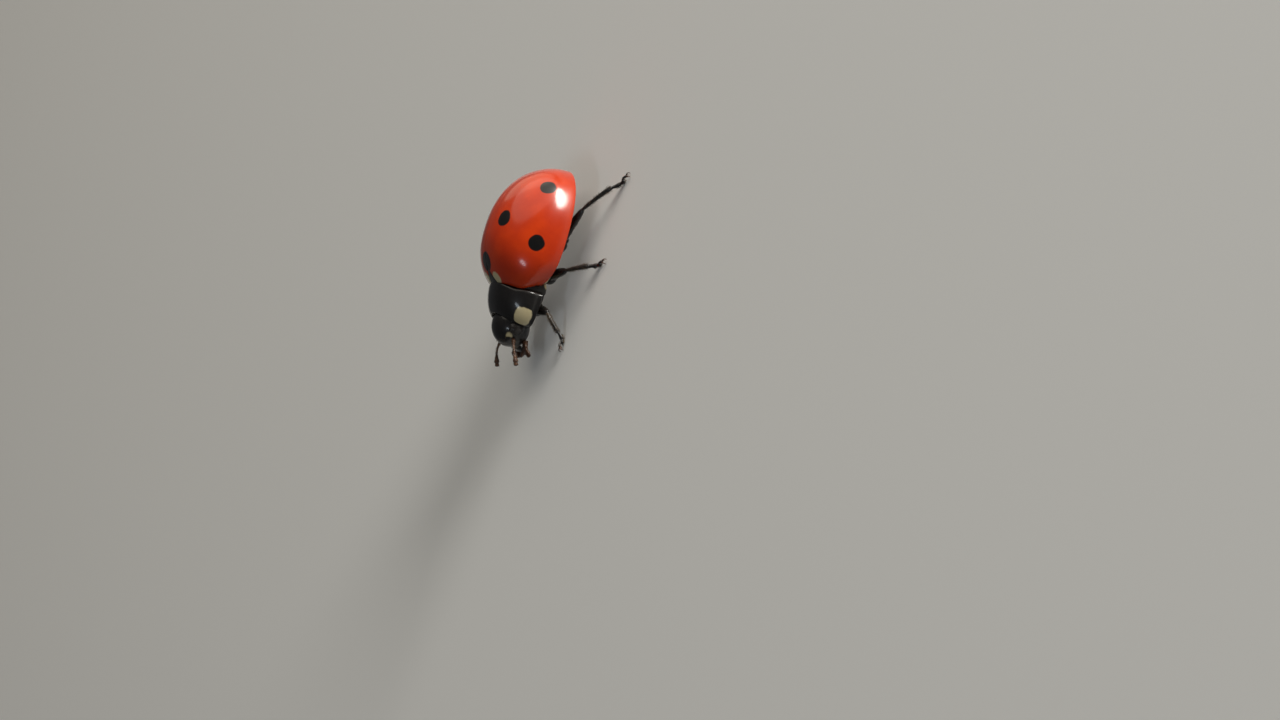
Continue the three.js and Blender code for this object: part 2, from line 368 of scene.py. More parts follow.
def make_shell_finish(name, pit_depth, cream_places=(), cream_radius=0.0):
    material, shader, place = start_finish(name, Coat_Roughness=0.12, Specular_IOR_Level=0.3)
    # the black with a painted sheen: noise lays patches of a lighter black at random
    colour = noise(place, 3.0).blend(BLACK, PAINTED_SHEEN_BLACK)
    if cream_places:
        waver = (noise(place, 3.0) - 0.5) * 0.16
        full, none = cream_radius - PATCH_EDGE, cream_radius + PATCH_EDGE
        reaches = [place.square_reach(point) + waver for point in cream_places]
        colour = any_of([reach.fade(full, none) for reach in reaches]).blend(colour, CREAM)
    feed(
        shader,
        Base_Color=colour,
        Roughness=0.34 + noise(place, 8.0) * 0.12,
        Coat_Weight=0.55 + noise(place, 9.0) * 0.3,
    )
    relief(shader, pits(place, 21.0, 0.32) + noise(place, 7.0) * 0.5, pit_depth)
    return material, "shell_black"


shield_finish = make_shell_finish("neck_shield_shell", 0.0025, both_sides(SHIELD_CORNER), 0.37)
head_finish = make_shell_finish("head_shell", 0.0025, both_sides(BROW_SPOT), 0.15)
leg_finish = make_shell_finish("leg_shell", 0.003)

# %% [markdown]
# ## Belly
# The underside is the same black without the polish, and browner in places. Each side of the chest
# has a cream plate.

# %% Belly finish
CHEST_PLATE = (1.78, -1.5, 0.98)
CHEST_PLATE_RADIUS = 0.34
CHEST_PLATE_EDGE = 0.04
BELLY_BLACK = (0.008, 0.007, 0.006, 1)
BELLY_BROWN = (0.03, 0.022, 0.017, 1)


def make_belly_finish():
    material, shader, place = start_finish("belly_shell", Coat_Weight=0.1)
    full, none = CHEST_PLATE_RADIUS - CHEST_PLATE_EDGE, CHEST_PLATE_RADIUS + CHEST_PLATE_EDGE
    cream = any_of([place.distance(point).fade(full, none) for point in both_sides(CHEST_PLATE)])
    black = noise(place, 4.0).blend(BELLY_BLACK, BELLY_BROWN)
    feed(shader, Base_Color=cream.blend(black, CREAM), Roughness=0.45 + noise(place, 9.0) * 0.2)
    relief(shader, pits(place, 9.0, 0.4) + noise(place, 6.0) * 0.5, 0.006)
    return material, "belly_black"


belly_finish = make_belly_finish()

# %% [markdown]
# ## Lenses of the eyes
# A compound eye has hundreds of tiny lenses, far too small to model one by one. Three waves that
# cross at sixty degrees add up to a honeycomb of round humps. They are drawn in a map of the eye
# itself, so that the lenses follow its surface.

# %% Eye finish
LENS_PITCH = 0.03
LENS_RIM = (0.003, 0.002, 0.002, 1)
LENS_DOME = (0.022, 0.016, 0.012, 1)


def make_eye_finish():
    material, shader, place = start_finish("eye_lenses", Coat_Weight=0.5, Coat_Roughness=0.12)
    lens_map = place.node("UVMap", {"uv_map": "facets"})
    wave = 4 * math.pi / math.sqrt(3) / LENS_PITCH
    ripples = []
    for turn in (0, 120, 240):
        direction = (wave * math.cos(math.radians(turn)), wave * math.sin(math.radians(turn)), 0)
        phase = lens_map.vector("DOT_PRODUCT", lens_map, direction, output="Value")
        ripples.append(phase.math("COSINE", phase))
    lens = (ripples[0] + ripples[1] + ripples[2]).fade(1.5, -1.0)
    feed(shader, Base_Color=lens.blend(LENS_RIM, LENS_DOME), Roughness=0.4 - lens * 0.25)
    relief(shader, lens, 0.008)
    return material, "eye_black"


eye_finish = make_eye_finish()

# %% [markdown]
# ## Horn
# Feelers, jaws, claws and hairs are brown horn, clouded between a light and a dark tone.

# %% Horn finishes
def make_horn_finish(name, light, dark, slot):
    material, shader, place = start_finish(name, Coat_Weight=0.3, Coat_Roughness=0.15)
    grain = noise(place, 5.0, 3.0)
    colour = grain.fade(0.3, 0.7).blend((*light, 1), (*dark, 1))
    feed(shader, Base_Color=colour, Roughness=0.35 + grain * 0.2)
    relief(shader, noise(place, 22.0, 3.0), 0.006)
    return material, slot


feeler_finish = make_horn_finish(
    "feeler_horn", (0.11, 0.042, 0.014), (0.045, 0.017, 0.007), "feeler_brown"
)
claw_finish = make_horn_finish(
    "claw_horn", (0.1, 0.034, 0.011), (0.035, 0.012, 0.005), "shell_black"
)
hair_finish = make_horn_finish("hair", (0.2, 0.14, 0.08), (0.09, 0.06, 0.035), None)

# %% [markdown]
# ## Shell plates from a grid
# A shell plate has four edges, so it is modelled from a flat grid whose rows and columns are led
# along those edges: the quads then follow the plate, and a sharp reflection runs over them without
# a flaw. A function of u, across, and v, along, both from 0 to 1, moves the grid into place point
# by point. Where rows run together, points that crowd the rim are welded to it, or the bevel would
# fold over itself. Then solidify gives the plate a wall, and bevel rounds the rim.

# %% The plate helper
SHARP_ANGLE = 0.9


def plate(columns, rows, place, wall, rim_round):
    bm = bmesh.new()
    bmesh.ops.create_grid(bm, x_segments=columns, y_segments=rows, size=0.5)
    for vertex in bm.verts:
        vertex.co = place(vertex.co.x + 0.5, vertex.co.y + 0.5)
    bmesh.ops.remove_doubles(bm, verts=bm.verts, dist=MERGE_DISTANCE)
    rim = [vertex for vertex in bm.verts if vertex.is_boundary]
    crowded = bmesh.ops.find_doubles(bm, verts=bm.verts, keep_verts=rim, dist=rim_round)
    bmesh.ops.weld_verts(bm, targetmap=crowded["targetmap"])
    bmesh.ops.recalc_face_normals(bm, faces=bm.faces)
    if sum(face.normal.z for face in bm.faces) < 0:
        bmesh.ops.reverse_faces(bm, faces=bm.faces)
    bmesh.ops.solidify(bm, geom=bm.faces, thickness=wall)
    bm.normal_update()
    inner = (edge for edge in bm.edges if edge.is_manifold)
    bmesh.ops.bevel(
        bm,
        geom=[edge for edge in inner if edge.calc_face_angle() > SHARP_ANGLE],
        offset=rim_round,
        offset_type="OFFSET",
        segments=3,
        profile=0.5,
        affect="EDGES",
        clamp_overlap=False,
        material=-1,
    )
    return bm


print("an edge of more than", round(math.degrees(SHARP_ANGLE)), "degrees is a rim")

# %% [markdown]
# ## The shoulders
# The wing cases meet the neck shield along an arc across the body, and the shoulder is where that
# arc crosses the side margin. No short formula gives the crossing, so a range that holds it is
# halved again and again.

# %% Find the shoulders
BASE_BOW_RADIUS = 7.0


def egg_width(along):
    """The half width of an egg at a share of its length, as a share of its widest."""
    return (1 - min(1.0, along) ** PLAN_POWER) ** (1 / PLAN_POWER)


def plan_half_width(y):
    """How far out the side margin is at a place along the body."""
    return HALF_WIDTH * egg_width(along_egg(y))


def arc(x, middle_y, radius):
    """The y of an arc across the body whose ends lie nearer to the head than its middle."""
    return middle_y - radius + math.sqrt(radius**2 - x**2)


def base_y(x):
    """The joint between the wing cases and the neck shield."""
    return arc(x, BASE_Y, BASE_BOW_RADIUS)


def solve(function, low, high, steps=50):
    """Where a rising function passes zero."""
    for _ in range(steps):
        middle = (low + high) / 2
        if function(middle) > 0:
            high = middle
        else:
            low = middle
    return (low + high) / 2


shoulder_y = solve(lambda y: y - base_y(plan_half_width(y)), BASE_Y - 0.6, BASE_Y)
print("shoulder at y =", round(shoulder_y, 3), "and x =", round(plan_half_width(shoulder_y), 3))

# %% [markdown]
# ## Curves for shaping
# Three curves come back in many pieces: a quarter circle that rounds a corner off, an S that fades
# something in, and a parabola that sets in late.

# %% The curves
def corner(share):
    """How far a quarter circle is from its tangent: 1 where it starts, 0 from a share of 1 on."""
    return 1 - math.sqrt(max(0.0, 1 - max(0.0, 1 - share) ** 2))


def smooth_step(share):
    share = max(0.0, min(1.0, share))
    return share * share * (3 - 2 * share)


def late(share, start):
    """0 up to the start, then a parabola up to 1."""
    return max(0.0, (share - start) / (1 - start)) ** 2


print("the curves at 0.5:", round(corner(0.5), 2), smooth_step(0.5), round(late(0.5, 0.2), 2))

# %% [markdown]
# ## Wing cases
# The two wing cases share one form and differ only in their side. Rows run from the seam to the
# margin: they bow forward at the front, like the base joint, and draw together at the tip. The
# front inner corner makes room for the scutellum, and the outer one, the shoulder, is rounded off,
# drawn back and lifted. Towards the margin the shell flares into a narrow lip, which catches a line
# of light on the real beetle.

# %% The form of a wing case
SEAM_GROOVE = 0.002  # half the gap left between the two wing cases
LAST_ROW_Y = TIP_Y - 1e-4  # at the very tip the last row would shrink to a point
COLUMN_POWER = 0.8  # 1 would crowd the columns more at the margin
LEAST_ROW = 0.1  # the share of its width that a row keeps beside the scutellum
OUTWARD_LEAN = 0.75
LIP_WIDTH = 0.045
LIP_START = 0.9  # on u
LIP_FADE = 0.15  # on v, so that the lip begins behind the shoulder
SHOULDER_LENGTH = 1.1  # from the corner back to where the margin is whole again
SHOULDER_DEPTH = 0.32
SHOULDER_RISE = 0.2
SHOULDER_BACK = 0.02
SHOULDER_SWEEP = 0.42  # how far the outer end of the base is drawn back
SWEEP_START = 0.55  # on u
SCUTELLUM_HALF_WIDTH = 0.36
SCUTELLUM_LENGTH = 0.6


def outward(x, y):
    """The level direction away from the middle of the back."""
    return Vector((x, (y - WIDEST_Y) * OUTWARD_LEAN, 0)).normalized()


def wing_case_edge(v):
    """A row's outer end: its y before and after the sweep, its x, and how far it is rounded."""
    front = shoulder_y + SHOULDER_BACK
    arc_y = front + (LAST_ROW_Y - front) * math.sin(v * math.pi / 2)
    edge_y = arc_y + SHOULDER_SWEEP * (1 - v) ** 3
    rounding = corner((edge_y - front - SHOULDER_SWEEP) / SHOULDER_LENGTH)
    return arc_y, edge_y, plan_half_width(edge_y) - SHOULDER_DEPTH * rounding, rounding


def notch_x(y):
    """The inner edge of a wing case beside the scutellum."""
    share = (y - BASE_Y) / (SCUTELLUM_LENGTH + 2 * JOINT_GAP)
    return (SCUTELLUM_HALF_WIDTH + JOINT_GAP) * (1 - share)


def wing_case_point(u, v, side):
    seam_y = BASE_Y + (LAST_ROW_Y - BASE_Y) * math.sin(v * math.pi / 2)
    arc_y, edge_y, edge_x, rounding = wing_case_edge(v)
    start = min(max(SEAM_GROOVE, notch_x(seam_y)), edge_x * (1 - LEAST_ROW))
    x = start + (edge_x - start) * math.sin((1 - (1 - u) ** COLUMN_POWER) * math.pi / 2)
    outer = late(u, SWEEP_START)
    y = seam_y + (arc_y - seam_y) * (x / edge_x) ** 2 + (edge_y - arc_y) * outer
    z = back_z(x / edge_x * plan_half_width(y), y) + SHOULDER_RISE * rounding * outer
    lip = late(u, LIP_START) * LIP_WIDTH * math.sqrt(1 - v) * smooth_step(v / LIP_FADE)
    away = outward(x, y) * lip
    return Vector(((x + away.x) * side, y + away.y, z))


print("wing cases:", round(TIP_Y - BASE_Y, 2), "mm long on the midline")

# %% [markdown]
# ## The folded edges
# Along its margin each wing case is folded in under the body, like a hem. The hem starts along the
# base, turns to follow the margin and narrows towards the tip. It is a plate of its own, because
# one grid can't turn so sharp a corner and keep its quads even.

# %% Build the wing cases and their folded edges
WING_CASE_WALL = 0.16
RIM_ROUND = 0.016
FOLD_WALL = 0.05
FOLD_ROUND = 0.015
FOLD_WIDTH = 0.38
FOLD_TIP_WIDTH = 0.1
FOLD_INSET = 0.06
FOLD_LIFT = 0.07
FOLD_SLOPE = 0.12
FOLD_TURN = 0.2  # the share of its length over which it turns from the base to the margin
FOLD_START = 0.004  # it stops short of both ends of the margin
FOLD_LENGTH = 0.98
SIDES = (("left", 1), ("right", -1))


def fold_point(u, v, side):
    _, y, x, rounding = wing_case_edge(FOLD_START + FOLD_LENGTH * v)
    z = margin_z(y) + SHOULDER_RISE * rounding + FOLD_LIFT + FOLD_SLOPE * u * u
    along_base = Vector((-x, BASE_Y - y, 0)).normalized()
    inwards = along_base.lerp(-outward(x, y), smooth_step(v / FOLD_TURN)).normalized()
    width = FOLD_WIDTH * (1 - v) ** 0.6 + FOLD_TIP_WIDTH
    fold = Vector((x, y, z)) + inwards * (FOLD_INSET + width * u)
    return Vector((fold.x * side, fold.y, fold.z))


for side_name, side in SIDES:
    name = "wing_case_" + side_name
    shell = plate(56, 84, lambda u, v: wing_case_point(u, v, side), WING_CASE_WALL, RIM_ROUND)
    finish_piece(name, shell, wing_case_finish, [name])
    fold = plate(6, 60, lambda u, v: fold_point(u, v, side), FOLD_WALL, FOLD_ROUND)
    finish_piece("under_edge_" + side_name, fold, wing_case_finish)

# %% [markdown]
# ## Scutellum
# The little triangular plate between the bases of the wing cases is black. It lies in the same
# dome, so its grid is narrowed from a wide front edge to a point and lifted onto the back.

# %% Build the scutellum
SCUTELLUM_TUCK = 0.04  # how far it reaches in under the neck shield
SCUTELLUM_SINK = 0.01


def scutellum_point(u, v):
    x = (2 * u - 1) * (SCUTELLUM_HALF_WIDTH * (1 - v) + 0.004)
    y = BASE_Y - SCUTELLUM_TUCK + (SCUTELLUM_LENGTH + SCUTELLUM_TUCK) * v
    return Vector((x, y, back_z(x, y) - SCUTELLUM_SINK))


finish_piece("scutellum", plate(12, 16, scutellum_point, 0.2, 0.02), shield_finish, ["scutellum"])

# %% [markdown]
# ## Neck shield
# The shield is arched from side to side and slopes down to the head. Its hind edge follows the arc
# of the base joint. Its front edge is hollowed where the head sits, so that the front corners reach
# forward beside the eyes. Its sides end in a narrow raised rim.

# %% The form of the neck shield
SHIELD_HALF_WIDTH = 1.88
SHIELD_FRONT = 2.0
SHIELD_REAR = 1.5
SHIELD_HEIGHT = 1.63
SHIELD_MARGIN = 1.32
SHIELD_SLOPE = 0.04
SHIELD_FRONT_Y = -3.2
SHIELD_FRONT_BOW = 2.6


def shield_z(x, y):
    along = abs((y - BASE_Y) / (SHIELD_FRONT if y < BASE_Y else SHIELD_REAR))
    margin = SHIELD_MARGIN + SHIELD_SLOPE * (y - BASE_Y)
    return margin + SHIELD_HEIGHT * dome(abs(x / SHIELD_HALF_WIDTH), along)


def shield_half_width(y):
    return SHIELD_HALF_WIDTH * egg_width(max(0.0, (BASE_Y - y) / SHIELD_FRONT))


def front_y(x):
    """The hollowed front edge of the neck shield."""
    return arc(x, SHIELD_FRONT_Y, SHIELD_FRONT_BOW)


hind_corner_y = solve(lambda y: y - base_y(shield_half_width(y)), BASE_Y - 0.6, BASE_Y)
front_corner_y = solve(lambda y: y - front_y(shield_half_width(y)), -3.9, SHIELD_FRONT_Y)
print("shield corners at y =", round(hind_corner_y, 3), "and", round(front_corner_y, 3))

# %% [markdown]
# The columns of its grid run from the hind edge to the front one. All four corners are rounded
# off, and the hind ones are drawn back a little over the shoulders of the wing cases.

# %% Build the neck shield
HIND_CORNER_ROUND = 0.14
HIND_CORNER_SWEEP = 0.2
FRONT_CORNER_ROUND = 0.2
SHIELD_LIP_START = 0.94
SHIELD_LIP_WIDTH = 0.05


def shield_point(u, v):
    edge_y = hind_corner_y + (front_corner_y - hind_corner_y) * v
    full_x = shield_half_width(edge_y)
    edge_x = full_x - HIND_CORNER_ROUND * corner((hind_corner_y - edge_y) / HIND_CORNER_ROUND)
    edge_x -= FRONT_CORNER_ROUND * corner((edge_y - front_corner_y) / FRONT_CORNER_ROUND)
    x = math.sin((2 * u - 1) * math.pi / 2) * edge_x
    share = (x / edge_x) ** 2
    middle_y = base_y(0) + (front_y(0) - base_y(0)) * v
    y = middle_y + (edge_y - middle_y) * share
    swept_y = y + HIND_CORNER_SWEEP * smooth_step(2 * share - 1) * (1 - v) ** 4
    lip = late(abs(2 * u - 1), SHIELD_LIP_START) * SHIELD_LIP_WIDTH
    return Vector((x + math.copysign(lip, x), swept_y, shield_z(x * full_x / edge_x, y)))


shield = plate(72, 32, shield_point, 0.1, 0.02)
finish_piece("neck_shield", shield, shield_finish, ["neck_shield"])

# %% [markdown]
# ## Round bodies
# The chest, the abdomen, the underside of the neck and the head are closed round forms. Each starts
# as a UV sphere, whose poles are turned to the front and back, and a function then moves its
# points. Bisecting it with a plane and filling the cut leaves a flat face, which the next piece
# meets.

# %% The round body helpers
def ball(move, segments, rings, cuts=()):
    """A unit sphere, moved point by point. Each cut is a point and the direction to clear."""
    bm = bmesh.new()
    bmesh.ops.create_uvsphere(bm, u_segments=segments, v_segments=rings, radius=1)
    to_front = Matrix.Rotation(math.pi / 2, 3, "X")
    bmesh.ops.rotate(bm, verts=bm.verts, cent=(0, 0, 0), matrix=to_front)
    for vertex in bm.verts:
        vertex.co = move(vertex.co)
    for point, direction in cuts:
        geometry = bm.verts[:] + bm.edges[:] + bm.faces[:]
        bmesh.ops.bisect_plane(
            bm, geom=geometry, dist=1e-6, plane_co=point, plane_no=direction, clear_outer=True
        )
        open_edges = [edge for edge in bm.edges if edge.is_boundary]
        bmesh.ops.holes_fill(bm, edges=open_edges, sides=0)
    return bm


def squarer(share):
    """A sine or cosine, pushed outwards so that the circle becomes as square as the back."""
    return math.copysign(abs(share) ** (2 / PLAN_POWER), share)


def egg_move(half_width, front, rear, centre_y, height, depth, base_z):
    """Moves a unit sphere's point onto an egg-shaped body."""

    def move(point):
        turn = math.atan2(point.y, point.x)
        spread = math.hypot(point.x, point.y) ** (2 / FLANK_POWER)
        x = half_width * spread * squarer(math.cos(turn))
        y = centre_y + (rear if point.y > 0 else front) * spread * squarer(math.sin(turn))
        return Vector((x, y, base_z(y) + point.z * (height if point.z > 0 else depth)))

    return move


def bell(distance, width):
    """A smooth hump: 1 in the middle, and next to nothing at twice the width."""
    return math.exp(-((distance / width) ** 2))


print("a hump at its width and at twice that:", round(bell(1, 1), 2), round(bell(2, 1), 2))

# %% [markdown]
# ## Chest and abdomen
# From below the beetle shows the broad plate of the chest, with a groove along its middle and one
# across, and the rings of the abdomen, each of which overlaps the next one like a roof tile. The
# rings are a saw-tooth added to the depth of the belly. One egg is cut at the waist to give both
# pieces.

# %% Build the chest and the abdomen
BODY_HALF_WIDTH = 2.28
BODY_FRONT = 2.32
BODY_REAR = 2.64
BODY_HEIGHT = 2.02
BELLY_DEPTH = 0.5
WAIST_Y = 0.35
RING_LENGTH = 0.5
RING_STEP = 0.05
RING_BOW = 0.06
MID_GROOVE_DEPTH, MID_GROOVE_WIDTH = 0.05, 0.06
CROSS_GROOVE_DEPTH, CROSS_GROOVE_WIDTH = 0.04, 0.05
CROSS_GROOVE_Y = -0.72
CROSS_GROOVE_BOW = 0.1

body_egg = egg_move(
    BODY_HALF_WIDTH, BODY_FRONT, BODY_REAR, WIDEST_Y, BODY_HEIGHT, BELLY_DEPTH, margin_z
)


def abdomen_move(point):
    moved = body_egg(point)
    if point.z < 0:
        part = (moved.y + RING_BOW * moved.x**2 - WAIST_Y) / RING_LENGTH
        moved.z += RING_STEP * (part - math.floor(part)) ** 3 * min(1.0, -point.z * 3)
    return moved


def chest_move(point):
    moved = body_egg(point)
    if point.z < 0:
        behind = moved.y - CROSS_GROOVE_Y + CROSS_GROOVE_BOW * abs(moved.x)
        moved.z += MID_GROOVE_DEPTH * bell(moved.x, MID_GROOVE_WIDTH)
        moved.z += CROSS_GROOVE_DEPTH * bell(behind, CROSS_GROOVE_WIDTH)
    return moved


abdomen = ball(abdomen_move, 64, 96, [((0, WAIST_Y + JOINT_GAP / 2, 0), (0, -1, 0))])
finish_piece("abdomen", abdomen, belly_finish, ["abdomen"])
chest_cuts = [((0, WAIST_Y - JOINT_GAP / 2, 0), (0, 1, 0)), ((0, BASE_Y - 0.06, 0), (0, -1, 0))]
finish_piece("chest", ball(chest_move, 64, 96, chest_cuts), belly_finish, ["chest"])

# %% [markdown]
# The underside of the neck closes the shield from below. A mid chest fills the joint between the
# shield and the wing cases, and shows in the notch at the shoulder.

# %% Build the underside of the neck and the mid chest
neck_egg = egg_move(1.64, 1.75, 1.4, BASE_Y, 1.2, 0.46, lambda y: SHIELD_MARGIN - 0.02)
neck_cuts = [((0, BASE_Y - 0.1, 0), (0, 1, 0)), ((0, -3.42, 0), (0, -1, 0))]
finish_piece("neck_underside", ball(neck_egg, 48, 48, neck_cuts), belly_finish, ["neck_shield"])

mid_egg = egg_move(1.76, 0.5, 0.6, BASE_Y + 0.1, 1.42, 0.44, margin_z)
finish_piece("mid_chest", ball(mid_egg, 48, 48), belly_finish, ["chest"])

# %% [markdown]
# ## Rods that bend and swell
# Legs, feelers and jaws are all rods of changing thickness. Each one starts as a circle, and its
# end face is extruded again and again along a smooth path, moved and scaled each time by a matrix.
# That is how one would draw them out by hand in edit mode, and it keeps the mesh in clean rings.

# %% The rod helper
UP = Vector((0, 0, 1))
LEAST_RADIUS = 1e-3
SHARE_STEP = 0.01


def only(kind, geometry):
    """The vertices, or the faces, among what an operator made."""
    return [part for part in geometry if isinstance(part, kind)]


def smooth_point(points, share):
    """The point at a share from 0 to 1 of a smooth curve through the given points."""
    points = [Vector(point) for point in points]
    ends = [points[0] * 2 - points[1]] + points + [points[-1] * 2 - points[-2]]
    whole = share * (len(points) - 1)
    part = min(int(whole), len(points) - 2)
    t = whole - part
    a, b, c, d = ends[part : part + 4]
    curve = 2 * b + (c - a) * t
    curve += (2 * a - 5 * b + 4 * c - d) * t**2
    curve += (3 * b - a - 3 * c + d) * t**3
    return 0.5 * curve


def ring_axes(points, share, up=UP):
    """The side, top and forward directions of a rod's section at a share of its length."""
    ahead = smooth_point(points, min(1, share + SHARE_STEP))
    ahead = (ahead - smooth_point(points, max(0, share - SHARE_STEP))).normalized()
    side = Vector(up).cross(ahead).normalized()
    return side, ahead.cross(side), ahead


def rod(points, wide, high, rings, sides, up=UP):
    """A rod along a path. wide and high give its half width and half height along it. Without
    high it is round."""
    high = high or wide
    bm = bmesh.new()
    bmesh.ops.create_circle(bm, cap_ends=True, segments=sides, radius=1)
    last = Matrix.Identity(4)
    face = bm.faces[:][0]
    for number in range(rings):
        share = 0.5 - 0.5 * math.cos(math.pi * number / (rings - 1))
        turned = Matrix(ring_axes(points, share, up)).transposed().to_4x4()
        radii = (max(radius(share), LEAST_RADIUS) for radius in (wide, high))
        size = Matrix.Diagonal((*radii, 1, 1))
        now = Matrix.Translation(smooth_point(points, share)) @ turned @ size
        if number:
            made = bmesh.ops.extrude_face_region(bm, geom=[face])["geom"]
            if number > 1:  # the first face closes the root, and a later one would stay inside
                bmesh.ops.delete(bm, geom=[face], context="FACES_ONLY")
            face = only(bmesh.types.BMFace, made)[0]
        bmesh.ops.transform(bm, matrix=now @ last.inverted(), verts=face.verts)
        last = now
    return bm


BEND = [(0, 0, 0), (1, 0, 1), (2, 0, 0)]
print("height of a bend, a quarter of the way along it:", smooth_point(BEND, 0.25).z)

# %% [markdown]
# ## How thick a rod is
# Most rods are blunt at both ends, and spurs, claws, jaws and hairs taper to a tip. Several rods
# and balls are joined when they make one piece.

# %% Ends and joins
def blunt(share, power):
    """1 along the middle of a rod, rounding to 0 at both ends."""
    return max(0.0, 1 - abs(2 * share - 1) ** power) ** 0.5


def taper(root, tip, power=1.0):
    """A radius that falls towards a fine tip, early for a power of 1 and late for a smaller one."""
    return lambda share: root * (1 - share) ** power + tip


def join(parts):
    """Several bmeshes as one."""
    whole = parts[0]
    for part in parts[1:]:
        spare = bpy.data.meshes.new("spare")
        part.to_mesh(spare)
        part.free()
        whole.from_mesh(spare)
        bpy.data.meshes.remove(spare)
    return whole


print("a blunt end, from its tip inwards:", [round(blunt(part / 10, 4), 2) for part in range(6)])

# %% [markdown]
# ## Head
# The head is a broad black capsule that slopes down and forward: a sphere made narrower in front
# and flat at the brow, with a dent at each end of the groove that parts the brow from the face. All
# of it is placed in the head's own axes and then turned with it.

# %% Build the skull
HEAD_TILT = 0.42
HEAD = Matrix.Translation((0, -3.52, 1.6)) @ Matrix.Rotation(HEAD_TILT, 4, "X")
SKULL_LENGTH = 0.95
CROWN_HEIGHT = 0.86
CHIN_DEPTH = 0.74
SKULL_NARROWING = 0.16
BROW_FLATTENING = 0.06
DENT_DEPTH = 0.06


def skull_local(point):
    """A unit sphere's point on the skull, in the head's own axes."""
    ahead = max(0.0, -point.y)
    x = point.x * (1 - SKULL_NARROWING * ahead**1.5)
    z = (CROWN_HEIGHT if point.z > 0 else CHIN_DEPTH) * point.z
    dent = bell(abs(x) - 0.5, 0.12) * bell(z - 0.12, 0.14)
    y = SKULL_LENGTH * point.y + BROW_FLATTENING * bell(x, 0.55) * ahead**4
    return Vector((x, y + DENT_DEPTH * dent * ahead, z))


def skull_move(point):
    return HEAD @ skull_local(point)


finish_piece("head", ball(skull_move, 64, 48), head_finish, ["head"])

# %% [markdown]
# ## Mouth
# A broad plate covers the face above the mouth. It is sunk into the skull, and only its front edge
# is free. The upper lip hangs from it, a short flattened ball with a shallow notch, and two curved
# jaws close under the lip.

# %% Build the lip, the face plate and the jaws
FACE_HALF_WIDTH = 0.56
FACE_TOP = 0.3
FACE_BOTTOM = -0.12
FACE_TAPER = 0.25  # how much narrower it is behind
FACE_BOW = 0.04
FACE_BULGE = 0.1
FACE_RIM = 0.03
FACE_SINK = 0.03
LIP_PLACE = Matrix.Translation((0, -4.35, 1.0)) @ Matrix.Rotation(1.05, 4, "X")
JAW = [(0.46, -4.0, 1.0), (0.42, -4.32, 0.9), (0.16, -4.6, 0.86), (0.02, -4.62, 0.86)]


def face_plate_point(u, v):
    share = 1 - 2 * u
    bulge = 1 - share**2
    x = share * FACE_HALF_WIDTH * (1 - FACE_TAPER + FACE_TAPER * v)
    z = FACE_TOP + (FACE_BOTTOM - FACE_TOP) * v + FACE_BOW * v * bulge
    outwards = Vector((x, -math.sqrt(1 - x * x - z * z), z))
    rise = FACE_BULGE * smooth_step(v) * bulge + FACE_RIM * v**6 - FACE_SINK
    return HEAD @ (skull_local(outwards) + outwards * rise)


def lip_move(point):
    notch = 0.07 * bell(point.x, 0.22) * max(0.0, -point.y)
    return LIP_PLACE @ Vector((0.43 * point.x, 0.26 * point.y + notch, 0.1 * point.z))


def make_jaw(side):
    return rod(mirrored(JAW, side), taper(0.15, 0.012, 0.5), taper(0.12, 0.012, 0.5), 18, 12)


finish_piece("upper_lip", ball(lip_move, 40, 24), leg_finish)
finish_piece("face_plate", plate(24, 12, face_plate_point, 0.06, 0.012), leg_finish)
finish_piece("jaws", join([make_jaw(side) for _, side in SIDES]), claw_finish)

# %% [markdown]
# ## Eyes
# Each eye is a bean that bulges from the side of the head, partly under the corner of the shield.
# Its map of lenses is measured round it and along it, with the seam on the side that lies inside
# the head.

# %% Build the eyes
EYE_PLACE = (0.83, -3.62, 1.66)
EYE_RADII = Vector((0.27, 0.33, 0.36))
EYE_TURN = 0.25


def make_eye(name, side):
    turned = Matrix.Rotation(EYE_TURN * side, 4, "Z") @ Matrix.Rotation(HEAD_TILT, 4, "X")
    place = Matrix.Translation(mirrored([EYE_PLACE], side)[0]) @ turned
    back = place.inverted()
    bm = ball(lambda point: place @ (EYE_RADII * point), 48, 32)
    lens_map = bm.loops.layers.uv.new("facets")
    for loop in (loop for face in bm.faces for loop in face.loops):
        x, y, z = (part / size for part, size in zip(back @ loop.vert.co, EYE_RADII))
        around = math.atan2(z, x * side) * EYE_RADII.z
        loop[lens_map].uv = (around, math.asin(max(-1.0, min(1.0, y))) * EYE_RADII.y)
    finish_piece(name, bm, eye_finish, [name])


for side_name, side in SIDES:
    make_eye("eye_" + side_name, side)

# %% [markdown]
# ## Feelers
# A feeler is a chain of eleven beads: a stout one, slender ones, and three that form a flat club. A
# single rod makes them all, and its radius is pinched wherever two beads meet. The mouth feelers
# are made in the same way, and end in a bead like the head of an axe.

# %% Build the feelers and the mouth feelers
# Each bead: the share of the length where it starts, and its radius. The last row is the tip.
FEELER_BEADS = [
    (0.0, 0.085), (0.2, 0.062), (0.29, 0.05), (0.38, 0.047), (0.45, 0.046), (0.52, 0.046),
    (0.58, 0.048), (0.64, 0.052), (0.7, 0.082), (0.79, 0.105), (0.89, 0.092), (1.0, 0.0),
]
MOUTH_BEADS = [(0.0, 0.06), (0.22, 0.075), (0.5, 0.075), (0.62, 0.15), (1.0, 0.0)]
MOUTH_HALF_HEIGHT = 0.08
LIP_BEADS = [(0.0, 0.045), (0.4, 0.05), (1.0, 0.0)]
FEELER = [(0.6, -4.02, 1.6), (0.94, -4.4, 1.62), (1.1, -4.78, 1.52), (1.16, -5.24, 1.33)]
MOUTH_FEELER = [(0.5, -3.98, 0.98), (0.62, -4.2, 0.98), (0.66, -4.42, 0.86), (0.72, -4.66, 0.7)]
LIP_FEELER = [(0.14, -4.2, 0.86), (0.2, -4.4, 0.8), (0.22, -4.55, 0.72)]
BEAD_POWER = 5
TIP_POWER = 2.6


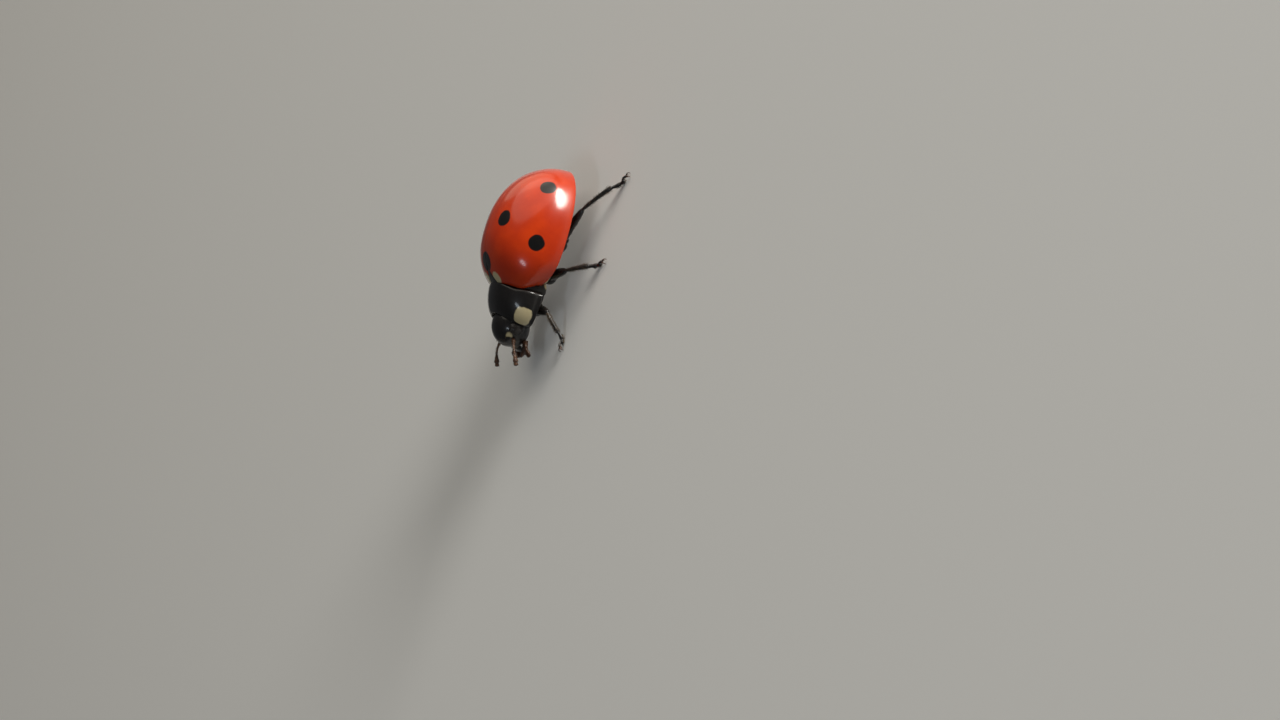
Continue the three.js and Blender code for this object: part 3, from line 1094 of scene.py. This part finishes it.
def beaded(beads, pinch, grow=0.0):
    """The radius along a chain of beads, pinched between them. Each bead grows by a share."""

    def radius(share):
        index = max(i for i in range(len(beads) - 1) if beads[i][0] <= share + 1e-9)
        start, size = beads[index]
        within = min(1.0, (share - start) / (beads[index + 1][0] - start))
        at_tip = index == len(beads) - 2 and within > 0.5
        low, power = (0.0, TIP_POWER) if at_tip else (pinch, BEAD_POWER)
        return size * (low + (1 - low) * blunt(within, power)) * (1 + grow * (within - 0.5))

    return radius


feeler_radius = beaded(FEELER_BEADS, 0.72, 0.3)
mouth_width = beaded(MOUTH_BEADS, 0.4, 0.5)
mouth_height = beaded([(start, min(size, MOUTH_HALF_HEIGHT)) for start, size in MOUTH_BEADS], 0.4)
for side_name, side in SIDES:
    bm = rod(mirrored(FEELER, side), feeler_radius, None, 120, 14)
    finish_piece("feeler_" + side_name, bm, feeler_finish, ["feeler_" + side_name])
    name = "mouth_feeler_" + side_name
    bm = rod(mirrored(MOUTH_FEELER, side), mouth_width, mouth_height, 60, 14)
    finish_piece(name, bm, feeler_finish, [name])

lip_radius = beaded(LIP_BEADS, 0.4)
lip_feelers = [rod(mirrored(LIP_FEELER, side), lip_radius, None, 24, 10) for _, side in SIDES]
finish_piece("lip_feelers", join(lip_feelers), feeler_finish)

# %% [markdown]
# ## Where the legs stand
# Knees, ankles and the tips of the feet are where the construction model has them. The two sides
# differ, because the beetle is walking.

# %% Places of the legs
HIPS = {"front": (0.62, -2.55, 0.93), "middle": (0.85, -1.1, 0.84), "hind": (0.98, 0.35, 0.82)}
LEGS = {  # knee, ankle and tip
    "front_left": [(1.98, -2.72, 0.92), (2.35, -3.45, 0.36), (2.6, -4.15, 0)],
    "front_right": [(2.05, -2.95, 0.92), (2.6, -3.6, 0.36), (3.0, -4.25, 0)],
    "middle_left": [(2.75, -0.9, 0.92), (3.85, -0.55, 0.36), (4.8, -0.3, 0)],
    "middle_right": [(2.75, -1.1, 0.92), (3.85, -1.1, 0.36), (4.8, -0.95, 0)],
    "hind_left": [(2.72, 1.85, 0.9), (3.92, 2.95, 0.36), (4.8, 3.55, 0)],
    "hind_right": [(2.7, 1.5, 0.9), (3.6, 2.7, 0.36), (4.2, 3.55, 0)],
}


def leg_points(name):
    """The hip, knee, ankle and tip of a leg, with the tip on the floor."""
    pair, side_name = name.split("_")
    return mirrored([HIPS[pair], *LEGS[name]], dict(SIDES)[side_name])


print("legs:", ", ".join(LEGS))

# %% [markdown]
# ## Thighs, shins and feet
# A thigh is a stout, flattened spindle, and a shin is slim and a little wider at the ankle. A foot
# has two broad pads, a tiny third joint and an arched claw joint. Each of these is a rod, given by
# its path and by how its half width and half height run along it, so that hairs can be grown on the
# same three later.

# %% Shapes of the leg's rods
def swelling(thick, swell):
    return lambda s: (thick + swell * math.sin(math.pi * s**0.8)) * blunt(s, 9)


def widening(slim, more):
    return lambda s: (slim + more * s**1.5) * blunt(s, 12)


def lobe(slim, broad):
    return lambda s: (slim + (broad - slim) * s**1.3) * blunt(s, 6)


def thigh_shape(hip, knee):
    middle = hip.lerp(knee, 0.5) + UP * 0.05
    end = knee + (knee - hip).normalized() * 0.08
    return [hip, middle, end], swelling(0.13, 0.1), swelling(0.11, 0.06)


def shin_shape(knee, ankle):
    ahead = (ankle - knee).normalized()
    start = knee - ahead * 0.06 + UP * 0.02
    middle = knee.lerp(ankle, 0.5) + UP * 0.04
    return [start, middle, ankle + ahead * 0.04], widening(0.07, 0.05), widening(0.075, 0.035)


def level_step(ankle, tip):
    """The way from the ankle to the tip, as the floor sees it."""
    return Vector((tip.x - ankle.x, tip.y - ankle.y, 0))


def foot_shapes(knee, ankle, tip):
    """The two pads, the tiny third joint and the claw joint, all clear of the floor."""
    step = level_step(ankle, tip)

    def at(share, z):
        return Vector((ankle.x + step.x * share, ankle.y + step.y * share, z))

    start = ankle - (ankle - knee).normalized() * 0.04
    return [
        ([start, at(0.14, 0.24), at(0.38, 0.125)], lobe(0.055, 0.125), lobe(0.055, 0.08)),
        ([at(0.28, 0.16), at(0.45, 0.12), at(0.64, 0.09)], lobe(0.05, 0.15), lobe(0.05, 0.06)),
        ([at(0.46, 0.14), at(0.58, 0.14)], lobe(0.05, 0.055), lobe(0.045, 0.05)),
        ([at(0.5, 0.14), at(0.72, 0.2), at(0.92, 0.14)], lobe(0.035, 0.062), lobe(0.035, 0.058)),
    ]


for name in LEGS:
    print(name, "foot spans", round(level_step(*leg_points(name)[2:]).length, 2), "mm")

# %% [markdown]
# ## Spurs and claws
# Two short spurs stand at the end of the shin, and the foot ends in two hooked claws, each with a
# tooth at its base. They are thin tapering rods. Small balls round off the hip and the first joint
# of the leg.

# %% Spurs, claws and joint balls
SPUR = taper(0.022, 0.002)
HOOK = taper(0.03, 0.003, 0.6)
TOOTH = taper(0.024, 0.003)
CLAW_ROOT_Z = 0.14


def spur_rods(knee, ankle):
    ahead = (ankle - knee).normalized()
    side = ahead.cross(UP).normalized()
    made = []
    for way in (1, -1):
        root = ankle - ahead * 0.06 + side * 0.06 * way - UP * 0.04
        made.append(rod([root, root + ahead * 0.17 + side * 0.03 * way], SPUR, None, 6, 6))
    return made


def claw_rods(ankle, tip):
    step = level_step(ankle, tip)
    ahead = step.normalized()
    side = Vector((-ahead.y, ahead.x, 0))
    made = []
    for way in (1, -1):
        root = Vector((ankle.x, ankle.y, CLAW_ROOT_Z)) + step * 0.88 + side * 0.025 * way
        out = side * 0.075 * way
        hook = [
            root,
            root + ahead * 0.08 + out * 0.6 + UP * 0.03,
            root + ahead * 0.14 + out - UP * 0.03,
            root + ahead * 0.13 + out * 1.1 - UP * 0.125,
        ]
        tooth = [root + ahead * 0.03 + out * 0.4, root + ahead * 0.06 + out * 0.7 - UP * 0.075]
        made += [rod(hook, HOOK, None, 16, 8), rod(tooth, TOOTH, None, 7, 8)]
    return made


def joint_ball(centre, width, height):
    radii = Vector((width, width * 0.72, height))
    return ball(lambda point: centre + radii * point, 24, 16)


print("a claw is", round(2 * HOOK(0.5), 3), "mm thick halfway along")

# %% [markdown]
# ## Six legs
# One function puts a leg together: a thigh with its hip, a shin with its spurs, a foot, and the
# claws, which are of a browner horn.

# %% Build the legs
def build_leg(name):
    hip, knee, ankle, tip = leg_points(name)
    second = joint_ball(hip.lerp(knee, 0.16) - UP * 0.03, 0.24, 0.2)
    parts = {
        "thigh": [joint_ball(hip, 0.43, 0.29), second, rod(*thigh_shape(hip, knee), 30, 16)],
        "shin": [rod(*shin_shape(knee, ankle), 28, 14), *spur_rods(knee, ankle)],
        "foot": [rod(*shape, 18, 14) for shape in foot_shapes(knee, ankle, tip)],
    }
    for part, rods in parts.items():
        finish_piece(f"{name}_{part}", join(rods), leg_finish, [f"{name}_{part}"])
    finish_piece(name + "_claws", join(claw_rods(ankle, tip)), claw_finish)


for name in LEGS:
    build_leg(name)

# %% [markdown]
# ## Skins to grow hairs on
# A ladybird looks bare, yet its legs, feelers, lips and belly carry fine hairs. To place them, the
# surface of a part is written as a skin: a function of u, round the part, and v, along it.

# %% The skins
def rod_skin(points, wide, high=None):
    high = high or wide

    def skin(u, v):
        side, top, _ = ring_axes(points, v)
        turn = 2 * math.pi * u
        reach = side * math.cos(turn) * wide(v) + top * math.sin(turn) * high(v)
        return smooth_point(points, v) + reach

    return skin


def ball_skin(move):
    """The skin of a round body, with v from its front to its back."""

    def skin(u, v):
        turn = 2 * math.pi * u
        y = -math.cos(math.pi * v)
        reach = math.sqrt(max(0.0, 1 - y * y))
        return move(Vector((reach * math.cos(turn), y, -reach * math.sin(turn))))

    return skin


print("a ball's skin begins at y =", ball_skin(Vector)(0, 0).y, "and ends on the other side")

# %% [markdown]
# ## One hair
# The hairs are real mesh. The first one is a thin rod of three sides, curved and a millimetre
# long. A matrix scales a copy of it and stands it on the skin, leaning the way the hairs lie.

# %% The hair and its stance
HAIR_STEM = [(0, 0, -0.08), (0.03, 0, 0.3), (0.12, 0, 0.65), (0.3, 0, 0.95)]
HAIR_PATCH = 0.003  # the width of a hair's patch in the map
SKIN_STEP = 0.003


def first_hair():
    """A bmesh with one hair, bent towards +X, and its patch of the map."""
    bm = rod(HAIR_STEM, taper(0.05, 0.004), None, 4, 3, up=(0, 1, 0))
    patch = bm.loops.layers.uv.new("OFBake")
    for face in bm.faces:
        for number, loop in enumerate(face.loops):
            loop[patch].uv = (HAIR_PATCH * (number % 2 - 0.5), HAIR_PATCH * (loop.vert.co.z - 0.5))
    return bm


def hair_matrix(skin, u, v, lean, length, lie):
    """Stands a hair on a skin. It leans by an angle towards the tip of the part, or along lie."""
    along = (skin(u, v + SKIN_STEP) - skin(u, v - SKIN_STEP)).normalized()
    around = skin(u + SKIN_STEP, v) - skin(u - SKIN_STEP, v)
    normal = around.cross(along).normalized()
    lie = Vector(lie) if lie else along
    lie = (lie - normal * lie.dot(normal)).normalized()
    stem = normal * math.cos(lean) + lie * math.sin(lean)
    bend = (lie - stem * lie.dot(stem)).normalized()
    axes = Matrix((bend, stem.cross(bend), stem)).transposed().to_4x4()
    return Matrix.Translation(skin(u, v)) @ axes @ Matrix.Scale(length, 4)


print("the first hair is", HAIR_STEM[-1][2], "mm high and bends over by", HAIR_STEM[-1][0], "mm")

# %% [markdown]
# ## Growing hairs
# The hair is duplicated at random places of a skin. The u and v of its place are also its place in
# the map called OFBake, which is therefore a true unwrap of the skin and not a view of it. The
# skins of a piece lie side by side in the map as tiles.

# %% Patches of hairs
TILE_MARGIN = 0.02
rng = random.Random(7)


def in_tile(share):
    return TILE_MARGIN + (1 - 2 * TILE_MARGIN) * share


def grow_patch(tile, width, skin, count, u_range, v_range, lean, length, lie=None):
    """Hairs on one skin. tile is where its strip of the map starts."""
    bm = first_hair()
    seed = bm.verts[:] + bm.edges[:] + bm.faces[:]
    patch = bm.loops.layers.uv["OFBake"]
    for _ in range(count):
        u = rng.uniform(*u_range)
        v = rng.uniform(*v_range)
        this_lean = lean * rng.uniform(0.8, 1.2)
        this_length = length * rng.uniform(0.7, 1.2)
        matrix = hair_matrix(skin, u, v, this_lean, this_length, lie)
        copy = bmesh.ops.duplicate(bm, geom=seed)["geom"]
        bmesh.ops.transform(bm, matrix=matrix, verts=only(bmesh.types.BMVert, copy))
        place = Vector((tile + width * in_tile(u), in_tile(v)))
        for face in only(bmesh.types.BMFace, copy):
            for loop in face.loops:
                loop[patch].uv += place
    bmesh.ops.delete(bm, geom=only(bmesh.types.BMVert, seed), context="VERTS")
    return bm


def grow_hairs(name, patches):
    width = 1 / len(patches)
    grown = [grow_patch(number * width, width, *patch) for number, patch in enumerate(patches)]
    finish_piece(name, join(grown), hair_finish)


print("a tile keeps a margin of", TILE_MARGIN, "of its size")

# %% [markdown]
# ## Where the hairs grow
# The shins are bristly, the thighs much less so. Under each pad of a foot stands a dense brush,
# which is what lets a ladybird walk on a leaf upside down. The belly hairs lie back towards the
# tail, and those on the lip and the face point forward.

# %% Grow the hairs
# Each patch: its skin, how many hairs, where on u and on v, how far they lean, and their length.
ALL_ROUND = (0.0, 1.0)
SOLE = (0.56, 0.94)
BELLY = (0.04, 0.46)
TAILWARDS = (0, 1, 0)
FORWARDS = (0, -1, -0.2)


def leg_hair_patches(name):
    hip, knee, ankle, tip = leg_points(name)
    pads = foot_shapes(knee, ankle, tip)
    return [
        (rod_skin(*thigh_shape(hip, knee)), 90, ALL_ROUND, (0.35, 0.95), 1.1, 0.1),
        (rod_skin(*shin_shape(knee, ankle)), 240, ALL_ROUND, (0.1, 0.95), 0.8, 0.12),
        (rod_skin(*pads[0]), 130, SOLE, (0.45, 0.96), 0.5, 0.09),
        (rod_skin(*pads[1]), 150, SOLE, (0.35, 0.96), 0.6, 0.07),
        (rod_skin(*pads[3]), 30, ALL_ROUND, (0.3, 0.9), 0.8, 0.08),
    ]


for name in LEGS:
    grow_hairs(name + "_hairs", leg_hair_patches(name))

grow_hairs("belly_hairs", [
    (ball_skin(abdomen_move), 700, BELLY, (0.5, 0.93), 1.25, 0.13, TAILWARDS),
    (ball_skin(chest_move), 500, BELLY, (0.16, 0.48), 1.25, 0.11, TAILWARDS),
])
grow_hairs("mouth_hairs", [
    (ball_skin(lip_move), 90, ALL_ROUND, (0.08, 0.3), 0.5, 0.14, FORWARDS),
    (face_plate_point, 70, (0.1, 0.9), (0.5, 0.97), 0.9, 0.09),
    (ball_skin(skull_move), 110, (0.53, 0.97), (0.2, 0.36), 1.2, 0.09, FORWARDS),
])
grow_hairs("feeler_hairs", [
    (rod_skin(mirrored(FEELER, side), feeler_radius), 160, ALL_ROUND, (0.02, 0.98), 0.8, 0.08)
    for _, side in SIDES
])

# %% [markdown]
# ## Floor
# The model stands on a plain pale floor, a single face, which is no part of the beetle.

# %% Make the floor
FLOOR_HALF_SIZE = 0.6
bm = bmesh.new()
bmesh.ops.create_grid(bm, x_segments=1, y_segments=1, size=FLOOR_HALF_SIZE)
floor_paint, _ = new_material("floor_paint", Base_Color=(0.8, 0.81, 0.8, 1), Roughness=0.7)
add_object("floor", bm, floor_paint)

# %% [markdown]
# ## Camera
# The camera looks from the beetle's left, a little ahead of it and from above. It is rolled on its
# side, so that the beetle hangs head down in the frame, and turned a little, so that the beetle's
# origin falls on its pixel without any lens shift.

# %% Set up the camera
VIEW_AZIMUTH = math.radians(8.95)  # towards the head from square on to the left side
VIEW_ELEVATION = math.radians(19.23)
VIEW_ROLL = math.radians(-71.25)
FOCAL = 100.0
SENSOR = 36.0
FRAME_WIDTH = 1280
FRAME_HEIGHT = 720
PIXELS_PER_MM = 23.1
ORIGIN_PIXEL = (566.7, 260.0)  # where the beetle's own origin lies in the frame
AIM = Vector((0, -0.4, 1.9))  # the point of the beetle that keeps its scale and direction


def to_metres(point):
    return TO_FRAME @ Vector(point)


def view_axes():
    """The frame's right and up, and the direction back to the camera."""
    x = math.cos(VIEW_ELEVATION) * math.cos(VIEW_AZIMUTH)
    y = -math.cos(VIEW_ELEVATION) * math.sin(VIEW_AZIMUTH)
    back = Vector((x, y, math.sin(VIEW_ELEVATION)))
    level = UP.cross(back).normalized()
    upright = back.cross(level)
    right = level * math.cos(VIEW_ROLL) + upright * math.sin(VIEW_ROLL)
    return right, back.cross(right), back


def make_camera():
    right, up, back = view_axes()
    focal_pixels = FOCAL / SENSOR * FRAME_WIDTH
    distance = focal_pixels / PIXELS_PER_MM
    aim_x = ORIGIN_PIXEL[0] + PIXELS_PER_MM * AIM.dot(right)
    aim_y = ORIGIN_PIXEL[1] - PIXELS_PER_MM * AIM.dot(up)
    aside = Vector((aim_x - FRAME_WIDTH / 2, FRAME_HEIGHT / 2 - aim_y, -focal_pixels))
    turn = aside.rotation_difference(-UP).to_matrix()
    axes = Matrix((right, up, back)).transposed() @ turn
    data = bpy.data.cameras.new("camera")
    data.lens = FOCAL
    data.sensor_width = SENSOR
    data.clip_start = 0.01
    data.clip_end = 5
    camera = bpy.data.objects.new("camera", data)
    camera.matrix_world = Matrix.Translation(to_metres(AIM + back * distance)) @ axes.to_4x4()
    bpy.context.scene.collection.objects.link(camera)
    bpy.context.scene.camera = camera
    print("camera", round(distance, 1), "mm away, aimed at pixel", round(aim_x), round(aim_y))


make_camera()

# %% [markdown]
# ## Light
# One soft lamp stands where its reflection lands on the flank towards the tail, and weaker ones
# fill the shade behind, above and beside the head. Each is given by the angle it fills as the
# beetle sees it, because that sets the size of its reflection. The room adds a faint glow from
# all sides, and colours are shown without a film look.

# %% Set up the lamps
# Each lamp: direction, distance in metres, half angles in degrees, power in watts, and colour.
LAMPS = {
    "key_lamp": ((0.53, 0.83, 0.13), 0.4, (18, 7), 1.9, (1, 0.96, 0.9)),
    "sky_lamp": ((-0.52, 0.76, 0.38), 0.5, (30, 20), 0.34, (1, 0.88, 0.7)),
    "top_lamp": ((0.05, 0.75, 0.66), 0.5, (35, 35), 1.1, (1, 0.92, 0.8)),
    "head_lamp": ((0.5, -0.5, 0.7), 0.4, (4, 9), 0.11, (0.8, 0.9, 1)),
}
LAMP_AIM = (0, 0, 1.5)
ROOM_COLOUR = (0.8, 0.83, 0.86, 1)
ROOM_STRENGTH = 0.07


def soft_lamp(name, towards, distance, half_angles, power, colour):
    """An oval area light that no camera sees."""
    direction = Vector(towards).normalized()
    data = bpy.data.lights.new(name, "AREA")
    data.shape = "ELLIPSE"
    data.size, data.size_y = (2 * distance * math.tan(math.radians(a)) for a in half_angles)
    data.energy = power
    data.color = colour
    light = bpy.data.objects.new(name, data)
    light.location = to_metres(LAMP_AIM) + direction * distance
    light.rotation_mode = "QUATERNION"
    light.rotation_quaternion = direction.to_track_quat("Z", "Y")
    light.visible_camera = False
    bpy.context.scene.collection.objects.link(light)
    print(name, round(data.size * 1000), "by", round(data.size_y * 1000), "mm")


for name, lamp in LAMPS.items():
    soft_lamp(name, *lamp)

world = bpy.data.worlds.new("room")
world.use_nodes = True
world.node_tree.nodes["Background"].inputs["Color"].default_value = ROOM_COLOUR
world.node_tree.nodes["Background"].inputs["Strength"].default_value = ROOM_STRENGTH
bpy.context.scene.world = world
bpy.context.scene.view_settings.view_transform = "Standard"

# %% [markdown]
# ## Size
# The dressed model has to stay the size of the construction model.
